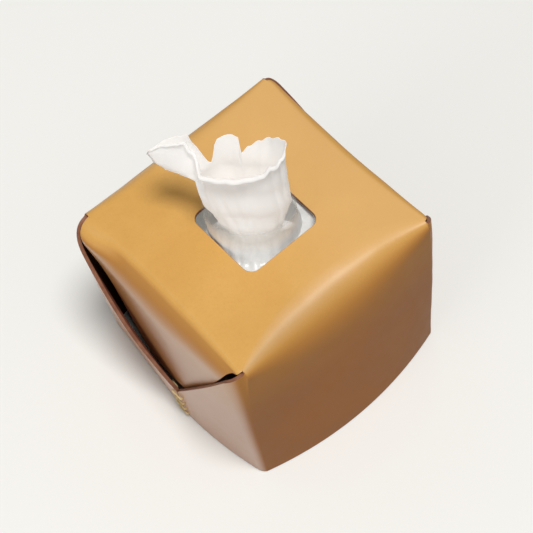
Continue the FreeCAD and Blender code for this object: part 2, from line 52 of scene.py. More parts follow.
millimetre = 0.001
leather = 2.2
cover_height = 127.0
cover_half = 70.0
opening_half = 25.5
opening_corner = 6.0
fold_face = 69.8
band_half = 66.5
fold_line = 59.0
slit_out = 67.5
flap_head = 66.0
flap_foot = 33.0
seam_y = -8.0
seam_height = 31.0
wall_bow = 11.0
back_edge_bow = 2.5
end_round = 3.0
front_round = 25.0
back_round = 9.0
bend_length = 1.2
bend_pull = 0.75
fold_softness = 4.5
fold_span = 62.0


def steps(first, last, count):
    return [first + (last - first) * number / count for number in range(count + 1)]


def between(first, last, share):
    return first + (last - first) * share


class WallRun:
    """The leather's outer face at one place across: the bend down from the top and the leaning wall."""

    def __init__(self, across, side):
        swell = 1 - (across / cover_half) ** 2
        edge = cover_half if side < 0 else cover_half + back_edge_bow * swell
        self.foot = cover_half + wall_bow * swell
        bend_round = end_round + (front_round if side < 0 else back_round) * swell
        lean = math.atan2(self.foot - edge, cover_height)
        reach = bend_length * bend_round * math.tan((math.pi / 2 - lean) / 2)
        self.start = edge - reach
        knee = Vector((edge, cover_height))
        wall_end = knee + Vector((self.foot - edge, -cover_height)).normalized() * reach
        top_end = Vector((self.start, cover_height))
        self.curve = (wall_end, wall_end.lerp(knee, bend_pull), top_end.lerp(knee, bend_pull), top_end)

    def bend(self, share):
        """A place on the bend, from the wall to the top. It is tightest in its middle and eases into both."""
        line = self.curve
        while len(line) > 1:
            line = [place.lerp(following, share) for place, following in zip(line, line[1:])]
        return line[0].x, line[0].y

    def share_at(self, out):
        """How far along the bend it stands out by so much."""
        low, high = 0.0, 1.0
        for halving in range(40):
            middle = (low + high) / 2
            low, high = (middle, high) if self.bend(middle)[0] > out else (low, middle)
        return low

    def wall(self, share):
        out, up = self.bend(0.0)
        return between(self.foot, out, share), up * share


end_run = WallRun(band_half, -1)
slit_share = end_run.share_at(slit_out)
head_share = end_run.share_at(flap_head)
wall_shares = steps(0.0, 1.0, 46)
slit_shares = steps(0.0, slit_share, 7)[1:]
bend_shares = slit_shares + steps(slit_share, head_share, 2)[1:] + steps(head_share, 1.0, 8)[1:]
opening_flat = opening_half - opening_corner
opening_lines = (steps(-opening_half, -opening_flat, 3) + steps(-opening_flat, opening_flat, 18)[1:]
                 + steps(opening_flat, opening_half, 3)[1:])
far_columns = steps(opening_half, fold_line, 12)[1:] + steps(fold_line, band_half, 8)[1:]
columns = [-across for across in reversed(far_columns)] + opening_lines + far_columns
far_shares = steps(0.0, 1.0, 12)[1:]


def fold_round(along):
    """The side fold is soft in its middle and tighter towards the corners."""
    return fold_face - band_half + fold_softness * max(0.0, 1 - (along / fold_span) ** 2)


def on_top(across, along):
    """A place on the top, which starts to turn down where the side fold begins."""
    turn = fold_round(along)
    past = max(0.0, abs(across) - (fold_face - turn))
    return across, along, cover_height - turn + math.sqrt(turn * turn - past * past)


def top_row(across):
    ends = [WallRun(across, side).start for side in (-1, 1)]
    near, far = [[between(opening_half, end, share) for share in far_shares] for end in ends]
    return [on_top(across, along) for along in [-value for value in reversed(near)] + opening_lines + far]


def wall_column(across, side, shares):
    run = WallRun(across, side)
    places = [run.wall(share) for share in wall_shares] + [run.bend(share) for share in shares]
    return [(across, side * out, up) for out, up in places]


def facing(turn):
    return Vector((math.sin(math.radians(turn)), math.cos(math.radians(turn)), 0.0))


corner_foot = Vector((62.0, 64.5, 0.0))
corner_foot_round = 8.0
corner_top_edge = 70.1
knee_set_in = 1.4
knee_edge = 69.4
shoulder_edge = 60.8
side_bow = 7.5
seam_top_out = 79.14
seam_gap = 0.2
wing_bend = 0.8
edge_curl = 0.4
corner_curl = 1.6
corner_foot_turns = (34.0, 70.0)
corner_top_turns = (16.0, 70.0)
side_top_turns = (70.0, 90.0)


class Wing:
    """Outer face of a wing, as upright columns from the wall's end round the corner to the seam."""

    def __init__(self, side_x, side_y, shoulder_out, shoulder_up, flare, foot_power):
        self.side_x = side_x
        self.side_y = side_y
        self.flare = flare
        self.foot_power = foot_power
        self.seam = side_y * seam_y + seam_gap
        self.shoulder_out = shoulder_out
        self.shoulder_up = shoulder_up

    def corner(self, share):
        """Foot and top of the upright corner, from the wall's end to the side. The top is the wider one."""
        foot = corner_foot + facing(between(*corner_foot_turns, share)) * corner_foot_round
        first = Vector((band_half, corner_top_edge, 0.0))
        knee = Vector((self.shoulder_out - knee_set_in, knee_edge, 0.0))
        last = Vector((self.shoulder_out, shoulder_edge, 0.0))
        top = first.lerp(knee, share).lerp(knee.lerp(last, share), share)
        top.z = self.shoulder_up
        return foot, top

    def swell(self, share):
        return 1 - (2 * share - 1) ** 2

    def side(self, share):
        foot, top = self.corner(1.0)
        bow = 1 - (1 - share) ** 2
        foot_bow = 1 - (1 - share) ** self.foot_power
        top_out = between(top.x, seam_top_out, bow) + self.flare * self.swell(share)
        top_up = between(self.shoulder_up, seam_height, share)
        return (Vector((foot.x + side_bow * foot_bow, between(foot.y, self.seam, share), 0.0)),
                Vector((top_out, between(top.y, self.seam, share), top_up)))

    def column(self, foot, top, turn, curl):
        bend = foot.lerp(top, wing_bend)
        knee = bend.lerp(top, 0.5)
        tip = top - facing(turn) * curl
        places = [foot.lerp(bend, share) for share in wall_shares]
        for share in steps(0.0, 1.0, len(slit_shares))[1:]:
            places.append(bend.lerp(knee, share).lerp(knee.lerp(tip, share), share))
        return [(self.side_x * place.x, self.side_y * place.y, place.z) for place in places]

    def columns(self):
        made = [wall_column(self.side_x * band_half, self.side_y, slit_shares)]
        slit_top = made[0][-1][2]
        for share in steps(0.0, 1.0, 10)[1:]:
            foot, top = self.corner(share)
            top.z = between(slit_top, self.shoulder_up, share ** 2)
            curl = edge_curl + corner_curl * (1 - share)
            made.append(self.column(foot, top, between(*corner_top_turns, share), curl))
        for share in steps(0.0, 1.0, 30)[1:]:
            foot, top = self.side(share)
            curl = edge_curl * (1 - share) - self.flare * self.swell(share)
            made.append(self.column(foot, top, between(*side_top_turns, share), curl))
        return made


class Blank:
    """Leather laid out in patches of a grid. Places that two patches share become one point."""

    def __init__(self):
        self.mesh = bmesh.new()
        self.points = {}
        self.piece = self.mesh.faces.layers.int.new("piece")

    def point(self, place):
        key = tuple(round(value, 3) for value in place)
        if key not in self.points:
            self.points[key] = self.mesh.verts.new(Vector(place) * millimetre)
        return self.points[key]

    def patch(self, lines, piece_of=lambda line, row: 0):
        for number, (line, following) in enumerate(zip(lines, lines[1:])):
            for row in range(len(line) - 1):
                piece = piece_of(number, row)
                if piece is None:
                    continue
                corners = (line[row], line[row + 1], following[row + 1], following[row])
                points = list(dict.fromkeys(self.point(place) for place in corners))
                if len(points) > 2:
                    self.mesh.faces.new(points)[self.piece] = piece

    def cut_out(self, piece):
        """One piece of the blank as a mesh of its own."""
        copy = self.mesh.copy()
        layer = copy.faces.layers.int["piece"]
        others = [face for face in copy.faces if face[layer] != piece]
        bmesh.ops.delete(copy, geom=others, context="FACES")
        mesh = bpy.data.meshes.new("leather")
        copy.to_mesh(mesh)
        copy.free()
        return mesh


blank = Blank()
for side_y in (-1, 1):
    blank.patch([wall_column(across, side_y, bend_shares) for across in columns])

# On the top the opening's cells are left out, and the cells beside the soft side folds belong to the flaps
flap_rows = range(3, len(top_row(0.0)) - 4)
left_fold = columns.index(-fold_line)
right_fold = columns.index(fold_line)
opening_cells = range(columns.index(-opening_half), columns.index(opening_half))
opening_rows = range(len(far_shares), len(far_shares) + len(opening_lines) - 1)


def top_piece(column, row):
    if column in opening_cells and row in opening_rows:
        return None
    if row in flap_rows and column < left_fold:
        return 1
    if row in flap_rows and column >= right_fold:
        return 2
    return 0


blank.patch([top_row(across) for across in columns], top_piece)

# The opening's corners are rounded off
for side_x in (-1, 1):
    for side_y in (-1, 1):
        border = [(opening_half, along) for along in steps(opening_flat, opening_half, 3)]
        border += [(across, opening_half) for across in steps(opening_half, opening_flat, 3)[1:]]
        turns = [math.radians(turn) for turn in steps(0.0, 90.0, 6)]
        curve = [(opening_flat + opening_corner * math.cos(turn),
                  opening_flat + opening_corner * math.sin(turn)) for turn in turns]
        blank.patch([[on_top(side_x * across, side_y * along) for across, along in line]
                     for line in (border, curve)])

left_wings = (Wing(-1, -1, shoulder_out=76.9, shoulder_up=118.5, flare=0.3, foot_power=2),
              Wing(-1, 1, shoulder_out=80.0, shoulder_up=112.0, flare=2.0, foot_power=1))
right_wings = (Wing(1, -1, shoulder_out=74.0, shoulder_up=118.5, flare=0.3, foot_power=2),
               Wing(1, 1, shoulder_out=74.0, shoulder_up=118.5, flare=2.4, foot_power=1))
wings = {-1: left_wings, 1: right_wings}
for wing in left_wings + right_wings:
    blank.patch(wing.columns())

# A flap turns down in a tight fold, bellies out below it and hangs straight from there. Its form is the turn
# of the fold in degrees, the round of the belly, how much tighter that is at the ends, and the half-width.
flap_forms = {-1: (61.0, 50.0, 9.0, 62.0), 1: (70.0, 42.0, 0.0, 59.5)}
belly_span = 58.0
flap_tip = 18.0
neck_share = 0.09
tab_share = 0.016
tab_spread = 2.4
tab_reach = 1.4
fullness_share = 0.055
fullness_start = 36.0
fullness_length = 26.0
fullness_spread = 1.2
fullness_reach = 5.6


def flap_column(side_x, along, up):
    fold_turn, belly, belly_ease, waist = flap_forms[side_x]
    belly -= belly_ease * min(1.0, abs(along) / belly_span) ** 2
    hip = math.radians(fold_turn)
    turn = fold_round(along)
    centre = fold_face - turn
    first = math.asin((band_half - centre) / turn)
    near_corner = min(1.0, max(0.0, (along - fullness_start) / fullness_length)) if side_x < 0 else 0.0
    back_corner = near_corner * near_corner * (3 - 2 * near_corner)
    tab_size = 0.4 * (1 - back_corner) if side_x < 0 else 0.15
    profile = []
    for angle in steps(first, hip, 10):
        profile.append((centre + turn * math.sin(angle), up + turn * (math.cos(angle) - math.cos(first))))
    hip_out, hip_up = profile[-1]
    for angle in steps(hip, math.pi / 2, 14)[1:]:
        profile.append((hip_out + belly * (math.sin(angle) - math.sin(hip)),
                        hip_up + belly * (math.cos(angle) - math.cos(hip))))
    out, low = profile[-1]
    profile += [(out, height) for height in steps(low, flap_foot, 30)[1:]]
    places = []
    for out, height in profile:
        share = (up - height) / (up - flap_foot)
        tab = tab_size * max(0.0, 1 - (share / tab_share - 1) ** 2)
        fullness = back_corner * share / fullness_share * math.exp(1 - share / fullness_share)
        half = between(waist, flap_tip, share) + (flap_head - waist) * max(0.0, 1 - share / neck_share) ** 2
        half += tab_spread * tab + fullness_spread * fullness
        reach = out + tab_reach * tab * (along / flap_head) ** 8 + fullness_reach * fullness
        places.append((side_x * reach, half / flap_head * along, height))
    return places


head = [end_run.bend(share) for share in bend_shares if share > head_share - 0.001]
top_edge = [place[1:] for place in top_row(band_half)[1:-1]]
hem = [(-out, up) for out, up in head] + top_edge + list(reversed(head))
for side_x, piece in ((-1, 1), (1, 2)):
    blank.patch([flap_column(side_x, along, up) for along, up in hem], lambda line, row, piece=piece: piece)

# Hide never lies quite flat: slow waves and fine ripples run over it, and die out at the foot
wave_length = 38.0
wave_depth = 0.5
ripple_length = 14.0
ripple_depth = 0.12
calm_foot = 12.0
bmesh.ops.recalc_face_normals(blank.mesh, faces=blank.mesh.faces)
blank.mesh.normal_update()
for point in blank.mesh.verts:
    place = point.co / millimetre
    wave = noise.noise(place / wave_length) * wave_depth
    wave += noise.noise(place / ripple_length + Vector((7.0, 3.0, 1.0))) * ripple_depth
    calm = min(1.0, place.z / calm_foot)
    point.co += point.normal * wave * calm * millimetre


class Finish:
    """A material made of nodes. A node's settings are set first, then the values or links of its sockets."""

    def __init__(self, name):
        self.material = bpy.data.materials.new(name)
        self.material.use_nodes = True
        self.tree = self.material.node_tree
        self.tree.nodes.clear()

    def node(self, kind, settings, sockets, output=0):
        made = self.tree.nodes.new("ShaderNode" + kind)
        for name, value in settings.items():
            setattr(made, name, value)
        for name, value in sockets.items():
            if isinstance(value, Tone):
                self.tree.links.new(value.socket, made.inputs[name])
            else:
                made.inputs[name].default_value = value
        return Tone(self, made.outputs[output]) if made.outputs else None

    def place(self):
        """Place on the piece, in millimetres."""
        where = self.node("TexCoord", {}, {}, "Object")
        return self.node("VectorMath", {"operation": "SCALE"}, {0: where, "Scale": 1 / millimetre})

    def axis(self, direction, name):
        return self.node("SeparateXYZ", {}, {0: direction}, name)

    def cloud(self, place, size, detail=3.0, rough=0.55):
        """Soft mottling of about the given size in millimetres, from 0 to 1."""
        return self.node("TexNoise", {}, {
            "Vector": place, "Scale": 1 / size, "Detail": detail, "Roughness": rough,
        })

    def cells(self, place, size):
        """Pebbles of about the given size, 0 in their middles."""
        return self.node("TexVoronoi", {"feature": "SMOOTH_F1"}, {
            "Vector": place, "Scale": 1 / size, "Smoothness": 0.6,
        })

    def step(self, value, low, high):
        """0 below low, 1 above high, and a soft rise between."""
        return self.node("MapRange", {"interpolation_type": "SMOOTHSTEP"}, {
            "Value": value, "From Min": low, "From Max": high,
        })

    def tint(self, share, first, second):
        """One colour going over into another."""
        def colour(value):
            return value if isinstance(value, Tone) else (*value, 1.0)

        return self.node("Mix", {"data_type": "RGBA"}, {0: share, 6: colour(first), 7: colour(second)}, 2)

    def bump(self, height, depth, strength=1.0):
        """Relief whose height of 1 stands for the given depth in millimetres."""
        return self.node("Bump", {}, {"Height": height, "Distance": depth * millimetre, "Strength": strength})

    def surface(self, sockets):
        shader = self.node("BsdfPrincipled", {}, sockets)
        self.node("OutputMaterial", {}, {"Surface": shader})
        return self.material


class Tone:
    """A socket of a finish. Arithmetic on it adds the nodes that work it out."""

    def __init__(self, finish, socket):
        self.finish = finish
        self.socket = socket

    def math(self, operation, first, second=0.0):
        return self.finish.node("Math", {"operation": operation}, {0: first, 1: second})

    def __add__(self, other):
        return self.math("ADD", self, other)

    def __radd__(self, other):
        return self.math("ADD", other, self)

    def __sub__(self, other):
        return self.math("SUBTRACT", self, other)

    def __rsub__(self, other):
        return self.math("SUBTRACT", other, self)

    def __mul__(self, other):
        return self.math("MULTIPLY", self, other)

    def __rmul__(self, other):
        return self.math("MULTIPLY", other, self)

    def __abs__(self):
        return self.math("ABSOLUTE", self)


def grain_side():
    """Smooth dyed grain with faint pores and clouds. It is glossy on the sides and on the front bend's left.
    Painted sheen makes the right of the top paler, and painted shade makes the bends and walls darker and
    redder, most of all low down."""
    finish = Finish("tan_leather_grain")
    place = finish.place()
    clouds = finish.cloud(place, 45.0)
    spots = finish.cloud(place, 7.0, 4.0)
    grain = finish.cloud(place, 1.5, 3.0, 0.6)
    pores = finish.cells(place, 0.9)
    creases = finish.cloud(place, 2.6, 5.0, 0.65)
    tan = finish.tint(finish.step(clouds, 0.25, 0.75), (0.655, 0.352, 0.092), (0.70, 0.39, 0.108))
    tan = finish.tint(finish.step(spots, 0.45, 0.8) * 0.2, tan, (0.60, 0.31, 0.075))
    tan = finish.tint(finish.step(grain, 0.45, 0.75) * 0.16, tan, (0.54, 0.265, 0.06))
    tan = finish.tint(finish.step(pores, 0.35, 0.1) * 0.12, tan, (0.42, 0.20, 0.05))
    normal = finish.node("NewGeometry", {}, {}, "Normal")
    sideways = abs(finish.axis(normal, "X"))
    upward = finish.axis(normal, "Z")
    polish = finish.step(sideways, 0.4, 0.95) * (1.0 - finish.step(upward, 0.05, 0.4))
    towards_right = finish.step(finish.axis(place, "X"), -40.0, 50.0)
    bend = finish.step(upward, 0.6, 0.9) * (1.0 - finish.step(upward, 0.9, 1.0)) * (1.0 - towards_right * 0.9)
    bend = bend * (1.0 - finish.step(sideways, 0.15, 0.45))
    # Painted sheen: the top is made paler towards its right, where a sheen of light lies on it.
    painted_sheen = towards_right * finish.step(upward, 0.9, 1.0)
    tan = finish.tint(painted_sheen * 0.6, tan, (0.745, 0.45, 0.18))
    # Painted shade: bends, folds and walls are tinted darker orange as they turn away from the top, and
    # upright faces darker brown, most of all low down.
    upright = 1.0 - finish.step(upward, 0.0, 0.95)
    painted_shade_low_down = 1.0 - finish.step(finish.axis(place, "Z"), 60.0, 118.0) * 0.7
    tan = finish.tint((1.0 - finish.step(upward, 0.25, 0.97)) * 0.9, tan, (0.60, 0.265, 0.06))
    tan = finish.tint(upright * painted_shade_low_down, tan, (0.485, 0.195, 0.062))
    relief = pores * 0.6 + creases * 0.8 + grain * 0.8
    return finish.surface({
        "Base Color": tan,
        "Roughness": 0.42 + finish.step(spots, 0.3, 0.8) * 0.08,
        "Specular IOR Level": 0.08,
        "Coat Weight": 0.03 + polish * 0.97 + bend * 0.95,
        "Coat Roughness": 0.34,
        "Coat IOR": 2.3,
        "Normal": finish.bump(relief, 0.07, 0.6),
    })


def flesh_side():
    """The hide's back: reddish brown and fibrous, with no shine."""
    finish = Finish("tan_leather_flesh")
    place = finish.place()
    fibres = finish.cloud(place, 0.8, 6.0, 0.7)
    clouds = finish.cloud(place, 14.0)
    red = finish.tint(finish.step(clouds, 0.3, 0.7), (0.16, 0.052, 0.032), (0.22, 0.078, 0.048))
    red = finish.tint(finish.step(fibres, 0.4, 0.7) * 0.5, red, (0.30, 0.125, 0.08))
    return finish.surface({
        "Base Color": red,
        "Roughness": 0.85,
        "Specular IOR Level": 0.2,
        "Normal": finish.bump(fibres, 0.25, 0.7),
    })


def cut_edge():
    """The cut through the hide, rubbed smooth: pinkish brown with darker fibres."""
    finish = Finish("tan_leather_edge")
    place = finish.place()
    fibres = finish.cloud(place, 0.5, 5.0, 0.7)
    clouds = finish.cloud(place, 6.0)
    brown = finish.tint(finish.step(clouds, 0.3, 0.7), (0.22, 0.085, 0.045), (0.31, 0.135, 0.075))
    brown = finish.tint(finish.step(fibres, 0.45, 0.7) * 0.5, brown, (0.15, 0.05, 0.025))
    return finish.surface({
        "Base Color": brown,
        "Roughness": 0.55,
        "Specular IOR Level": 0.3,
        "Normal": finish.bump(fibres, 0.12, 0.6),
    })


leather_finishes = [grain_side(), flesh_side(), cut_edge()]


def settle(piece):
    """Give a piece its final mesh, with its modifiers worked in."""
    graph = bpy.context.evaluated_depsgraph_get()
    shaped = bpy.data.meshes.new_from_object(piece.evaluated_get(graph))
    piece.modifiers.clear()
    piece.data = shaped


def laid(name, mesh, finishes):
    """A new piece in the scene, with its finishes in their slots."""
    piece = bpy.data.objects.new(name, mesh)
    bpy.context.scene.collection.objects.link(piece)
    for finish in finishes:
        mesh.materials.append(finish)
    return piece


join_low = 121.5
join_margin = 0.8
edge_round = 0.45


def on_join(point):
    """Whether a point lies where the top goes over into a flap without a cut."""
    across, along, up = [abs(value) / millimetre for value in point.co]
    beside_fold = fold_line - join_margin < across < band_half + join_margin
    return up > join_low and beside_fold and along < flap_head + 0.5


def cut_leather(name, mesh):
    """Leather of full thickness: grain outside, flesh inside, and edges rubbed round where it was cut."""
    piece = laid(name, mesh, leather_finishes)
    body = piece.modifiers.new("thickness", "SOLIDIFY")
    body.thickness = leather * millimetre
    body.offset = -1.0
    body.use_even_offset = True
    body.material_offset = 1
    body.material_offset_rim = 2
    settle(piece)
    shape = bmesh.new()
    shape.from_mesh(piece.data)
    rims = []
    for edge in shape.edges:
        if sorted(face.material_index for face in edge.link_faces) not in ([0, 2], [1, 2]):
            continue
        if all(on_join(point) for point in edge.verts):
            edge.smooth = False
        else:
            rims.append(edge)
    bmesh.ops.bevel(shape, geom=rims, offset=edge_round * millimetre, offset_type="OFFSET", segments=2,
                    profile=0.5, affect="EDGES", material=2, clamp_overlap=True)
    for point in shape.verts:
        point.co.z = max(0.0, point.co.z)
    for face in shape.faces:
        face.smooth = True
    shape.to_mesh(piece.data)
    shape.free()
    even = piece.modifiers.new("even shading", "WEIGHTED_NORMAL")
    even.keep_sharp = True
    settle(piece)
    return piece


cover = cut_leather("cover_leather", blank.cut_out(0))
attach(cover, "cover")
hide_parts("leather_cover")


# Side flaps: tongues of the same blank, each cut out as a piece of its own, from the top beside its soft fold
# down to the part that hangs inside the wings.

for side_x, piece, name in ((-1, 1, "left_flap"), (1, 2, "right_flap")):
    flap = cut_leather(name + "_leather", blank.cut_out(piece))
    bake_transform(flap)
    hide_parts(name)


# Seam threads: waxed thread of three strands, laced through four pairs of holes at the foot of each side.
# It lies straight across outside and slants back inside.

thread = 1.3
thread_turn = 1.1
thread_tail = 5.0
stitch_reach = 4.0
stitch_heights = steps(4.5, 27.0, 3)


def beside_seam(wing, reach, up):
    foot, top = wing.side(1 - reach / (wing.corner(1.0)[1].y - wing.seam))
    return between(foot.x, top.x, up / top.z)


def lacing_route(side_x):
    front_wing, back_wing = wings[side_x]
    stand_off = thread / 2 + 0.2

    def inside(wing, along, up):
        across = beside_seam(wing, along, up) - leather - stand_off
        return Vector((side_x * across, seam_y + wing.side_y * along, up))

    def outside(wing, up):
        places = [beside_seam(either, along, up)
                  for either in (front_wing, back_wing) for along in (0.0, stitch_reach)]
        return Vector((side_x * (max(places) + stand_off), seam_y + wing.side_y * stitch_reach, up))

    corners = [inside(back_wing, stitch_reach + thread_tail, stitch_heights[-1])]
    for up in reversed(stitch_heights):
        corners += [inside(back_wing, stitch_reach, up), outside(back_wing, up),
                    outside(front_wing, up), inside(front_wing, stitch_reach, up)]
    corners.append(inside(front_wing, stitch_reach + thread_tail, stitch_heights[0]))
    route = [corners[0]]
    for before, corner, after in zip(corners, corners[1:], corners[2:]):
        route += [corner + (before - corner).normalized() * thread_turn, corner,
                  corner + (after - corner).normalized() * thread_turn]
    return route + [corners[-1]]


def smooth_line(points, fineness):
    """Points along the soft curve that a thread makes through its corners."""
    curve = bpy.data.curves.new("route", "CURVE")
    curve.dimensions = "3D"
    curve.resolution_u = fineness
    spline = curve.splines.new("NURBS")
    spline.points.add(len(points) - 1)
    for target, point in zip(spline.points, points):
        target.co = (*point, 1.0)
    spline.order_u = 3
    spline.use_endpoint_u = True
    route = bpy.data.objects.new("route", curve)
    line = bpy.data.meshes.new_from_object(route)
    places = [point.co.copy() for point in line.vertices]
    bpy.data.objects.remove(route)
    return places


def smooth_mesh(name, shape):
    """A finished mesh, shaded smooth."""
    for face in shape.faces:
        face.smooth = True
    mesh = bpy.data.meshes.new(name)
    shape.to_mesh(mesh)
    shape.free()
    return mesh


def twisted(name, line, strands, strand_radius, lay_radius, pitch, sides):
    """Strands twisted round a line into one mesh."""
    shape = bmesh.new()
    across = Vector((0.0, 0.0, 1.0))
    travel = 0.0
    rings = [[] for strand in range(strands)]
    for number, place in enumerate(line):
        ahead = (line[min(number + 1, len(line) - 1)] - line[max(number - 1, 0)]).normalized()
        across = (across - ahead * across.dot(ahead)).normalized()
        beside = ahead.cross(across)
        travel += (place - line[number - 1]).length if number else 0.0
        for strand in range(strands):
            turn = 2 * math.pi * (travel / pitch + strand / strands)
            centre = place + (across * math.cos(turn) + beside * math.sin(turn)) * lay_radius
            ring = []
            for side in range(sides):
                angle = 2 * math.pi * side / sides
                outward = across * math.cos(angle) + beside * math.sin(angle)
                ring.append(shape.verts.new((centre + outward * strand_radius) * millimetre))
            rings[strand].append(ring)
    for strand in rings:
        for ring, following in zip(strand, strand[1:]):
            for side in range(sides):
                after = (side + 1) % sides
                shape.faces.new((ring[side], following[side], following[after], ring[after]))
        shape.faces.new(strand[0])
        shape.faces.new(strand[-1][::-1])
    bmesh.ops.recalc_face_normals(shape, faces=shape.faces)
    return smooth_mesh(name, shape)


def waxed_thread():
    finish = Finish("waxed_thread")
    place = finish.place()
    fibres = finish.cloud(place, 0.25, 4.0, 0.7)
    soil = finish.cloud(place, 3.0)
    cream = finish.tint(finish.step(soil, 0.35, 0.7), (0.86, 0.68, 0.36), (0.74, 0.54, 0.24))
    cream = finish.tint(finish.step(fibres, 0.45, 0.75) * 0.5, cream, (0.50, 0.33, 0.13))
    return finish.surface({
        "Base Color": cream,
        "Roughness": 0.5,
        "Coat Weight": 0.3,
        "Coat Roughness": 0.35,
        "Normal": finish.bump(fibres, 0.06, 0.6),
    })


thread_finish = waxed_thread()
for side_x, name in ((-1, "left_seam_thread"), (1, "right_seam_thread")):
    line = smooth_line(lacing_route(side_x), 6)
    twist = twisted(name, line, strands=3, strand_radius=0.36, lay_radius=0.32, pitch=3.2, sides=8)
    lacing = laid(name + "_twist", twist, [thread_finish])
    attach(lacing, "cover")
    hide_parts(name)


# Carton: the cardboard cube of the refill, with a round window die-cut in its top. Its solids are shown
# as they are, in white clay-coated board.

def carton_board():
    finish = Finish("carton_board")
    place = finish.place()
    fibres = finish.cloud(place, 0.7, 5.0, 0.65)
    clouds = finish.cloud(place, 30.0)
    white = finish.tint(finish.step(clouds, 0.3, 0.7), (0.76, 0.76, 0.74), (0.82, 0.82, 0.80))
    white = finish.tint(finish.step(fibres, 0.55, 0.8) * 0.3, white, (0.64, 0.62, 0.58))
    return finish.surface({
        "Base Color": white,
        "Roughness": 0.55,
        "Normal": finish.bump(fibres, 0.04, 0.4),
    })


board = carton_board()
for node in ("carton_walls", "carton_top", "carton_base"):
    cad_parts[node].data.materials.clear()
    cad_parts[node].data.materials.append(board)


# Raised tissue: a two-ply tissue of 208 by 208 mm, pulled half out of the slit. Its front hangs over in a
# lip, the back stands up with a tab and two notches, and a corner flops over to the left. The rest of it
# lies folded in the carton below.

slit_up = 121.2
right_way = Vector((1.0, -1.0, 0.0)).normalized()
away = Vector((1.0, 1.0, 0.0)).normalized()


def along_points(points, value):
    """The value on a line through given points, eased at each."""
    if value <= points[0][0]:
        return points[0][1]
    for (start, low), (end, high) in zip(points, points[1:]):
        if value <= end:
            share = (value - start) / (end - start)
            return between(low, high, share * share * (3 - 2 * share))
    return points[-1][1]


# Where its folds, front and back stand at each height, how high its rim stands across it, and how far the
# corner reaches out at each height
left_folds = ((slit_up, -23.0), (126.0, -15.0), (130.0, -16.0), (140.0, -22.5), (150.0, -27.0),
              (166.0, -30.0), (195.0, -31.5))
right_folds = ((slit_up, 23.0), (126.0, 15.0), (130.0, 15.5), (140.0, 19.0), (150.0, 21.0), (200.0, 21.5))
fronts = ((slit_up, -1.4), (124.0, -11.0), (128.0, -16.5), (136.0, -16.0), (150.0, -13.0), (168.0, -9.0),
          (190.0, -5.5))
backs = ((slit_up, 1.4), (132.0, 5.0), (150.0, 8.0), (165.0, 11.5), (185.0, 18.0))
front_rim = ((-55.0, 175.0), (-51.5, 181.0), (-44.0, 186.0), (-36.0, 188.0), (-31.0, 189.0), (-28.5, 183.0),
             (-25.0, 180.0), (-20.0, 180.5), (-14.0, 181.0), (-4.0, 181.5), (3.0, 182.0), (9.0, 184.5),
             (14.0, 188.5), (19.0, 193.0), (21.5, 195.0))
back_rim = ((-55.0, 175.0), (-51.5, 181.0), (-44.0, 186.0), (-36.0, 188.0), (-31.0, 189.5), (-28.0, 184.0),
            (-20.5, 169.5), (-19.5, 174.0), (-18.5, 178.5), (-16.5, 181.0), (-9.0, 182.5), (-5.6, 181.5),
            (-5.2, 177.0), (-4.6, 172.5), (0.0, 176.5), (6.0, 180.5), (12.0, 185.5), (18.0, 191.0),
            (21.5, 195.0))
rim_middle = 177.0
ear_reach = ((164.5, 0.0), (167.0, 0.4), (170.0, 0.65), (175.0, 0.9), (180.0, 1.0), (190.0, 0.8))
ear_turn = 30.0
ear_length = 24.0
ear_puff = 1.6
lip_depth = 8.0
lip_reach = 2.5
lip_roll = 1.5
rim_roll = 0.25
curl_turn = 210.0
pleat_depth = 2.2
pleat_set_in = 0.6
dent_depth = 0.7
folded_half = 22.3
folded_layers = ((1.25, 120.4, 60.4), (1.0, 61.4, 116.4), (0.75, 115.4, 61.4), (0.5, 62.4, 115.4),
                 (0.25, 114.4, 62.4))
tissue_columns = 168


def tissue_place(turn, up):
    """A place on the raised tissue, by the turn round its fold from right over back to left and front."""
    left = along_points(left_folds, up)
    right = along_points(right_folds, up)
    across = between(left, right, (math.cos(turn) + 1) / 2)
    depth = along_points(backs, up) if math.sin(turn) > 0 else -along_points(fronts, up)
    deep = depth * math.copysign(abs(math.sin(turn)) ** 0.8, math.sin(turn))
    apart = math.degrees(abs(turn - math.pi))
    pinch = along_points(((ear_turn, 1.0), (60.0 if turn < math.pi else 44.0, 0.0)), apart)
    pinch *= along_points(((156.0, 0.0), (170.0, 1.0)), up)
    ear = max(0.0, 1 - apart / ear_turn)
    puff = math.copysign(ear_puff * math.sin(math.pi * ear), math.sin(turn))
    deep = deep * (1 - 0.92 * pinch) + pinch * (4.0 + 0.4 * max(0.0, up - 170.0) + puff)
    across -= ear_length * along_points(ear_reach, up) * ear
    return across, deep


def tissue_rim(turn):
    across, deep = tissue_place(turn, rim_middle)
    return along_points(back_rim if math.sin(turn) > 0 else front_rim, across)


def tissue_swell(turn, across, deep, up):
    """How far soft pleats and dents push the paper outwards."""
    pleat = noise.noise(Vector((turn * 2.4 + up * 0.01, up * 0.015, 4.0)))
    dent = noise.noise(Vector((across / 12.0, deep / 12.0 + turn, up / 18.0)))
    return (abs(pleat) * pleat_depth - pleat_set_in + dent * dent_depth) * min(1.0, (up - slit_up) / 20.0)


def tissue_top(turn, up):
    return up + noise.noise(Vector((turn * 3.0, 2.0, 9.0))) * 0.6


def tissue_outward(turn):
    return Vector((math.cos(turn) * 0.4, math.sin(turn), 0.0)).normalized()


